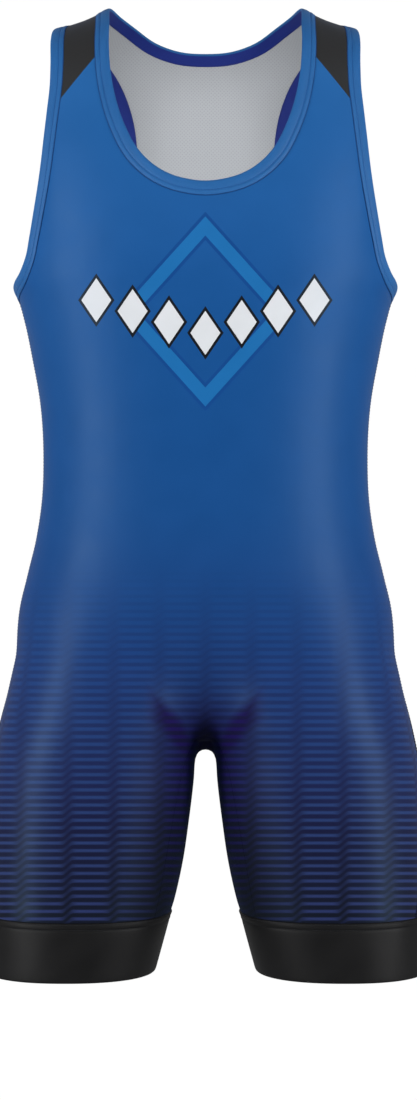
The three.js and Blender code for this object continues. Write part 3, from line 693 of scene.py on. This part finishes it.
def printed_knit():
    """Polyester and elastane warp knit with a print dyed into it. It is satin: soft lights, brighter when
    seen edge on, and no fuzz. Its ribs are really 0.5 mm apart and are drawn at 1 mm, so that they show."""
    material, tree, shader = finish_of("printed_knit", {
        "IOR": 1.5, "Specular IOR Level": 0.24, "Specular Tint": srgb("#a4ccf5"),
        "Sheen Weight": 0.06, "Sheen Roughness": 0.4, "Sheen Tint": srgb("#2f7fd8"),
    })
    scaled, across, up = cloth_axes(tree)
    ribbed(tree, shader, scaled, pitch=1.0, strength=0.25, depth=0.12)
    drift, even_gloss = roughened(tree, shader, scaled, 0.36, 0.44)

    spot = add(tree, "ShaderNodeTexCoord").outputs["Object"]
    spot = add(tree, "ShaderNodeVectorMath", {"operation": "SCALE"}, {0: spot, "Scale": 1 / MM})
    axes = add(tree, "ShaderNodeSeparateXYZ", None, {0: spot})
    aside = add(tree, "ShaderNodeMath", {"operation": "ABSOLUTE"}, {0: axes.outputs["X"]})
    in_front = add(tree, "ShaderNodeMath", {"operation": "LESS_THAN"}, {0: axes.outputs["Y"], 1: 0})

    # The ordinary print. Its stripes are black at the hem and purple from the middle of the thighs up.
    share = stripes(tree, across, up)
    upper = add(tree, "ShaderNodeMapRange", None, {"Value": up, "From Min": BLACK_Z, "From Max": PURPLE_Z})
    stripe = add(tree, "ShaderNodeMix", COLOURS, {0: upper, 6: srgb(STRIPE_BLACK), 7: srgb(STRIPE_PURPLE)})
    striped = add(tree, "ShaderNodeMix", COLOURS, {0: share, 6: blue_fade(tree, up), 7: stripe.outputs[2]})
    ordinary = ornament(tree, across, up, in_front, striped.outputs[2])

    # Round the crotch, down the inside of the legs and in two creases, painted shade takes its place: purple,
    # navy lower down, with black stripes, and matt.
    left = crotch_shade(tree, aside, axes.outputs["Z"])
    gloss = add(tree, "ShaderNodeMix", {"data_type": "FLOAT"}, {0: left, 2: SHADE_ROUGHNESS, 3: even_gloss})
    tree.links.new(gloss.outputs[0], shader.inputs["Roughness"])
    painted_shade = add(tree, "ShaderNodeMix", COLOURS, {0: upper, 6: srgb(LEG_SHADE_NAVY), 7: srgb(CROTCH_SHADE_PURPLE)})
    painted_shade = add(tree, "ShaderNodeMix", COLOURS, {0: share, 6: painted_shade.outputs[2], 7: srgb(STRIPE_BLACK)})
    shaded = add(tree, "ShaderNodeMix", COLOURS, {0: left, 6: painted_shade.outputs[2], 7: ordinary})

    # Dye takes up a little unevenly.
    dye = add(tree, "ShaderNodeMapRange", None, {"Value": drift, "To Min": LEAST_DYE, "To Max": MOST_DYE})
    uneven = add(tree, "ShaderNodeVectorMath", {"operation": "SCALE"}, {0: shaded.outputs[2], "Scale": dye})

    # Black printed over the shoulders.
    reach = add(tree, "ShaderNodeMath", {"operation": "MULTIPLY_ADD"},
                {0: aside, 1: YOKE_RISE, 2: axes.outputs["Z"]})
    yoke = add(tree, "ShaderNodeMapRange", SMOOTH,
               {"Value": reach, "From Min": YOKE_REACH - YOKE_BLUR, "From Max": YOKE_REACH + YOKE_BLUR})
    colour = add(tree, "ShaderNodeMix", COLOURS, {0: yoke, 6: uneven, 7: srgb(SHOULDER_BLACK)})
    tree.links.new(colour.outputs[2], shader.inputs["Base Color"])
    return material


def plain_knit(name, colour, other, ribs, roughness, sheen, tint):
    """Dyed knit of one colour, which drifts a little towards another, with ribs of a given pitch in
    millimetres."""
    material, tree, shader = finish_of(name, {
        "IOR": 1.5, "Specular IOR Level": 0.2, "Sheen Weight": sheen, "Sheen Roughness": 0.45,
        "Sheen Tint": srgb(tint),
    })
    scaled, _, _ = cloth_axes(tree)
    loops = ribbed(tree, shader, scaled, pitch=ribs, strength=0.3, depth=0.15)
    drift, _ = roughened(tree, shader, scaled, roughness - 0.06, roughness + 0.06)
    mixed = add(tree, "ShaderNodeMath", {"operation": "MULTIPLY"}, {0: loops, 1: drift})
    share = add(tree, "ShaderNodeMapRange", None, {"Value": mixed, "From Min": 0.15, "From Max": 0.4})
    blend = add(tree, "ShaderNodeMix", COLOURS, {0: share, 6: srgb(colour), 7: srgb(other)})
    tree.links.new(blend.outputs[2], shader.inputs["Base Color"])
    return material


def mesh_inside():
    """The unprinted inner face of the knit: matt off-white, with tiny eyelets in slanting rows. They are
    really about 1.2 mm apart and are drawn at 2.4 mm."""
    material, tree, shader = finish_of("mesh_inside", {
        "IOR": 1.5, "Specular IOR Level": 0.25, "Sheen Weight": 0.1,
    })
    scaled, _, _ = cloth_axes(tree)
    turned = add(tree, "ShaderNodeMapping", None, {"Vector": scaled, "Rotation": (0, 0, math.radians(45))})
    eyelets = add(tree, "ShaderNodeTexVoronoi", {"voronoi_dimensions": "2D"},
                  {"Vector": turned, "Scale": 1 / 2.4, "Randomness": 0.12})
    hole = add(tree, "ShaderNodeMapRange", SMOOTH, {"Value": eyelets, "From Min": 0.12, "From Max": 0.34})
    blend = add(tree, "ShaderNodeMix", COLOURS, {0: hole, 6: srgb("#989ba0"), 7: srgb("#a6a9ad")})
    tree.links.new(blend.outputs[2], shader.inputs["Base Color"])
    bump = add(tree, "ShaderNodeBump", None, {"Strength": 0.4, "Distance": 0.15 * MM, "Height": hole})
    tree.links.new(bump.outputs[0], shader.inputs["Normal"])
    roughened(tree, shader, scaled, 0.7, 0.8)
    return material


def sewing_thread(name, colour):
    """Spun polyester thread: slightly glossy plies that slant along it. They are drawn 0.6 mm apart, and are
    finer in reality."""
    material, tree, shader = finish_of(name, {"IOR": 1.5, "Specular IOR Level": 0.2})
    spot = add(tree, "ShaderNodeTexCoord").outputs["Object"]
    plies = add(tree, "ShaderNodeTexWave", {"bands_direction": "DIAGONAL"},
                {"Vector": spot, "Scale": math.pi / 10 / (0.6 * MM), "Distortion": 0.3}).outputs["Fac"]
    shade = add(tree, "ShaderNodeMapRange", None, {"Value": plies, "To Min": 0.8, "To Max": 1.1})
    dyed = add(tree, "ShaderNodeVectorMath", {"operation": "SCALE"}, {0: srgb(colour)[:3], "Scale": shade})
    tree.links.new(dyed.outputs[0], shader.inputs["Base Color"])
    rough = add(tree, "ShaderNodeMapRange", None, {"Value": plies, "To Min": 0.4, "To Max": 0.55})
    tree.links.new(rough.outputs[0], shader.inputs["Roughness"])
    return material


printed = printed_knit()
inside = mesh_inside()
binding_blue = plain_knit(
    "binding_knit", "#205892", "#265f9a", ribs=0.9, roughness=0.45, sheen=0.05, tint="#a8ccf5"
)
binding_lining = plain_knit(
    "binding_lining", "#1c2a74", "#20307e", ribs=0.9, roughness=0.6, sheen=0.05, tint="#8f9ff0"
)
black_knit = plain_knit(
    "black_knit", "#0d0d0e", "#111112", ribs=1.0, roughness=0.5, sheen=0.02, tint="#c8ccd2"
)
blue_thread = sewing_thread("blue_thread", "#1c4f90")
seam_shadow_thread = sewing_thread("seam_shadow_thread", "#163f78")
dark_thread = sewing_thread("dark_thread", "#141b38")
black_thread = sewing_thread("black_thread", "#202124")


# Panels: node, outer material, slot, and the width and length in metres of the rectangle round its cut.
for node, knit, slot, width, along in [
    ("front", printed, "body_knit", 0.47, 0.79),
    ("back", printed, "body_knit", 0.47, 0.79),
    ("gusset", printed, "body_knit", 0.115, 0.32),
    ("side_insert_right", black_knit, "dark_knit", 0.10, 0.18),
    ("side_insert_left", black_knit, "dark_knit", 0.10, 0.18),
]:
    made = panel(node, knit, inside)

# Bindings: a strip folded over the panel's edge, with a groove where its needle thread bites. Rows are the
# distance from the fold and the height over the figure.
BINDING_PROFILE = [
    (13.2, -0.45),
    (13.15, 0.15),
    (12.85, 0.38),
    (12.3, 0.5),
    (11.7, 0.66),
    (10.8, 0.84),
    (9.8, 0.78),
    (9.2, 0.5),
    (8.8, 0.34),
    (8.4, 0.46),
    (7.7, 0.72),
    (6.0, 0.88),
    (4.2, 0.9),
    (2.4, 0.82),
    (1.2, 0.6),
    (0.45, 0.25),
    (0.05, -0.25),
    (0.15, -0.8),
    (0.7, -1.3),
    (1.8, -1.6),
    (4.0, -1.75),
    (7.0, -1.8),
    (10.0, -1.8),
    (12.8, -1.75),
    (13.2, -1.45),
]
LINING_FROM = 19  # the first row of the profile whose face is on the inside
NEEDLE_ROW = (8.8, 0.34)  # distance from the fold and height of the row of stitches
SEAM_ROW = (13.35, -0.05)  # the same for the dense row that closes the binding against the panel; its dark thread also paints the shadow line along the seam
BINDING_MIDDLE = 6.6  # half a binding's width


def binding(node):
    points, triangles = outer_layer(node)
    loops = sorted((points[loop] for loop in border_loops(triangles)), key=length)
    edge = settle(fair_curve(loops[0], 4))
    along = np.roll(edge, -1, axis=0) - np.roll(edge, 1, axis=0)
    inwards = unit(np.cross(outward(edge), along))

    def line_at(across):
        return settle(edge + inwards * across)

    part = [1 if row >= LINING_FROM else 0 for row in range(len(BINDING_PROFILE))]
    made = swept(
        node + "_cloth", line_at, BINDING_PROFILE, [binding_blue, binding_lining], part, node
    )
    line_at(BINDING_MIDDLE)
    across, height = NEEDLE_ROW
    row = running_stitches(ring_of(line_at(across)), height)
    sewn(node + "_stitches", [row], blue_thread)
    # Real stitches, dense and darker than the binding, which also paint the shadow line along the seam.
    across, height = SEAM_ROW
    row = running_stitches(ring_of(line_at(across)), height, pitch=2.4, share=0.96, radius=0.38)
    sewn(node + "_seam", [row], seam_shadow_thread)


for node in ("neck_binding", "armhole_binding_right", "armhole_binding_left"):
    binding(node)

# Leg bands: smooth black, covered by a flat stitch along the top and folded at the hem. Rows are the distance
# down from the seam and the height over the figure.
CUFF_PROFILE = [
    (54.6, -0.9),
    (54.4, -0.2),
    (53.9, 0.15),
    (52.8, 0.35),
    (50.0, 0.4),
    (42.0, 0.4),
    (32.0, 0.4),
    (22.0, 0.4),
    (14.0, 0.4),
    (9.0, 0.38),
    (7.2, 0.25),
    (6.4, -0.05),
    (5.9, 0.2),
    (4.6, 0.5),
    (3.2, 0.58),
    (1.8, 0.5),
    (0.7, 0.2),
    (0.1, -0.3),
    (0.1, -1.6),
    (1.0, -2.1),
    (20.0, -2.2),
    (40.0, -2.2),
    (52.5, -2.1),
    (54.2, -1.6),
]
CUFF_ROWS = [(1.3, 0.5), (6.1, 0.25)]  # rows of stitches, given the same way
CUFF_MIDDLE = 27  # half a leg band's height


def leg_middle(z):
    return (value_at(THIGH, "z", "outer", z) + value_at(THIGH, "z", "inner", z)) / 2


def cuff(node):
    points, triangles = outer_layer(node)
    loops = sorted((points[loop] for loop in border_loops(triangles)), key=lambda line: line[:, 2].mean())
    ring = fair_curve(loops[-1], 3)
    side = np.sign(ring[:, 0].mean())

    def line_at(down):
        line = ring.copy()
        line[:, 2] -= down
        line[:, 0] += side * (leg_middle(line[:, 2]) - leg_middle(ring[:, 2]))
        return settle(line, level=True)

    part = [0] * len(CUFF_PROFILE)
    made = swept(node + "_cloth", line_at, CUFF_PROFILE[::-1], [black_knit], part, node)
    line_at(CUFF_MIDDLE)
    rows = [running_stitches(ring_of(line_at(down)), height) for down, height in CUFF_ROWS]
    sewn(node + "_stitches", rows, black_thread)


for node in ("cuff_right", "cuff_left"):
    cuff(node)

# Flat seams between the panels: two rows of needle thread and the looper thread that crosses between them.
FLAT_SEAM_HALF = 2.1  # from the seam's middle to each row


def flat_seam(line):
    line = settle(fair_curve(line, 4, closed=False))
    beside = unit(np.cross(outward(line), np.gradient(line, axis=0)))
    sides = [settle(line + beside * FLAT_SEAM_HALF * sign) for sign in (-1, 1)]
    return [looper_threads(line, 0.05, FLAT_SEAM_HALF)] + [running_stitches(row, 0.12) for row in sides]


def seam_sides(node, longest):
    return sorted(stretches(node), key=length)[-longest:]


for side, sign in (("right", 1), ("left", -1)):
    wedge = seam_sides("side_insert_" + side, 2)
    front_sides = [line for line in seam_sides("front", 4) if np.sign(line[:, 0].mean()) == sign]
    outer_line = max(front_sides, key=lambda line: abs(line[:, 0]).mean())
    tip = max(line[:, 2].max() for line in wedge)
    armpit_to_tip = outer_line[outer_line[:, 2] > tip - 1]
    rows = [row for line in (*wedge, armpit_to_tip) for row in flat_seam(line)]
    sewn("side_seam_" + side, rows, dark_thread)

gusset_rows = [row for line in seam_sides("gusset", 2) for row in flat_seam(line)]
sewn("gusset_seams", gusset_rows, dark_thread)

STRAP_END_Z = -60  # only the shoulder ends of the straps lie wholly above this
shoulder_lines = [line for line in stretches("front") if line[:, 2].min() > STRAP_END_Z]
sewn("shoulder_seams", [row for line in shoulder_lines for row in flat_seam(line)], black_thread)

# Floor, backdrop, light and camera
FLOOR_Z = -1.75  # these are in metres, as are the lights' places and sizes
FLOOR_RADIUS = 3
ROOM_RADIUS = 12
ROOM_LIGHT = 0.22


def stage_piece(name, material):
    """Names the piece just added, a part of the stage, and gives it its material."""
    made = bpy.context.object
    made.name = name
    made.data.materials.append(material)
    return made


pale_floor, _, _ = finish_of("pale_floor", {
    "Base Color": srgb("#ececec"), "Roughness": 0.9,
    "Emission Color": srgb("#ffffff"), "Emission Strength": 0.5,
})
lit_paper, _, _ = finish_of("lit_paper", {
    "Base Color": srgb("#000000"), "Emission Color": srgb("#ffffff"), "Emission Strength": 1,
})
bpy.ops.mesh.primitive_circle_add(
    vertices=96, radius=FLOOR_RADIUS, fill_type="NGON", location=(0, 0, FLOOR_Z)
)
floor = stage_piece("floor", pale_floor)
bpy.ops.mesh.primitive_uv_sphere_add(radius=ROOM_RADIUS)
room = stage_piece("white_room", lit_paper)
# Floor and white room are only a backdrop: they give no light and aren't mirrored in the cloth.
for backdrop in (floor, room):
    for ray in ("diffuse", "glossy", "transmission", "shadow"):
        setattr(backdrop, "visible_" + ray, False)

world = bpy.data.worlds.new("soft_room")
bpy.context.scene.world = world
world.use_nodes = True
world.node_tree.nodes["Background"].inputs["Color"].default_value = (1, 1, 1, 1)
world.node_tree.nodes["Background"].inputs["Strength"].default_value = ROOM_LIGHT
bpy.context.scene.view_settings.view_transform = "Standard"


def soft_light(name, place, target, size, watts, mirrored=True):
    """A soft box of a given width and height, turned to its target; gloss mirrors it or not."""
    light = bpy.data.lights.new(name, "AREA")
    light.shape = "RECTANGLE"
    light.size, light.size_y = size
    light.energy = watts
    box = bpy.data.objects.new(name, light)
    box.location = place
    box.rotation_euler = (Vector(target) - Vector(place)).to_track_quat("-Z", "Y").to_euler()
    box.visible_glossy = mirrored
    bpy.context.scene.collection.objects.link(box)


# A broad light over the camera. On each side a tall strip gives the satin its long highlight, a box lights
# the outside of the thigh, and another lights the back.
soft_light("key", (0, -2.4, 0.7), (0, 0, -0.3), (1.6, 1.2), 22, mirrored=False)
for side in (-1, 1):
    soft_light("front_strip", (1.9 * side, -1.3, -0.35), (0, 0, -0.5), (0.5, 2.0), 36)
    soft_light("side_box", (2.2 * side, -0.5, -0.7), (0, 0, -0.6), (0.8, 1.4), 12, mirrored=False)
    soft_light("rear_box", (1.3 * side, 2.0, 0.4), (0, 0, -0.45), (1.0, 1.4), 16, mirrored=False)

camera_data = bpy.data.cameras.new("camera")
camera_data.sensor_width = SENSOR
camera_data.lens = SENSOR * -EYE[1] / VIEW_HEIGHT
camera = bpy.data.objects.new("camera", camera_data)
camera.location = [c * MM for c in EYE]
camera.rotation_euler = (math.radians(90), 0, 0)
bpy.context.scene.collection.objects.link(camera)
bpy.context.scene.camera = camera
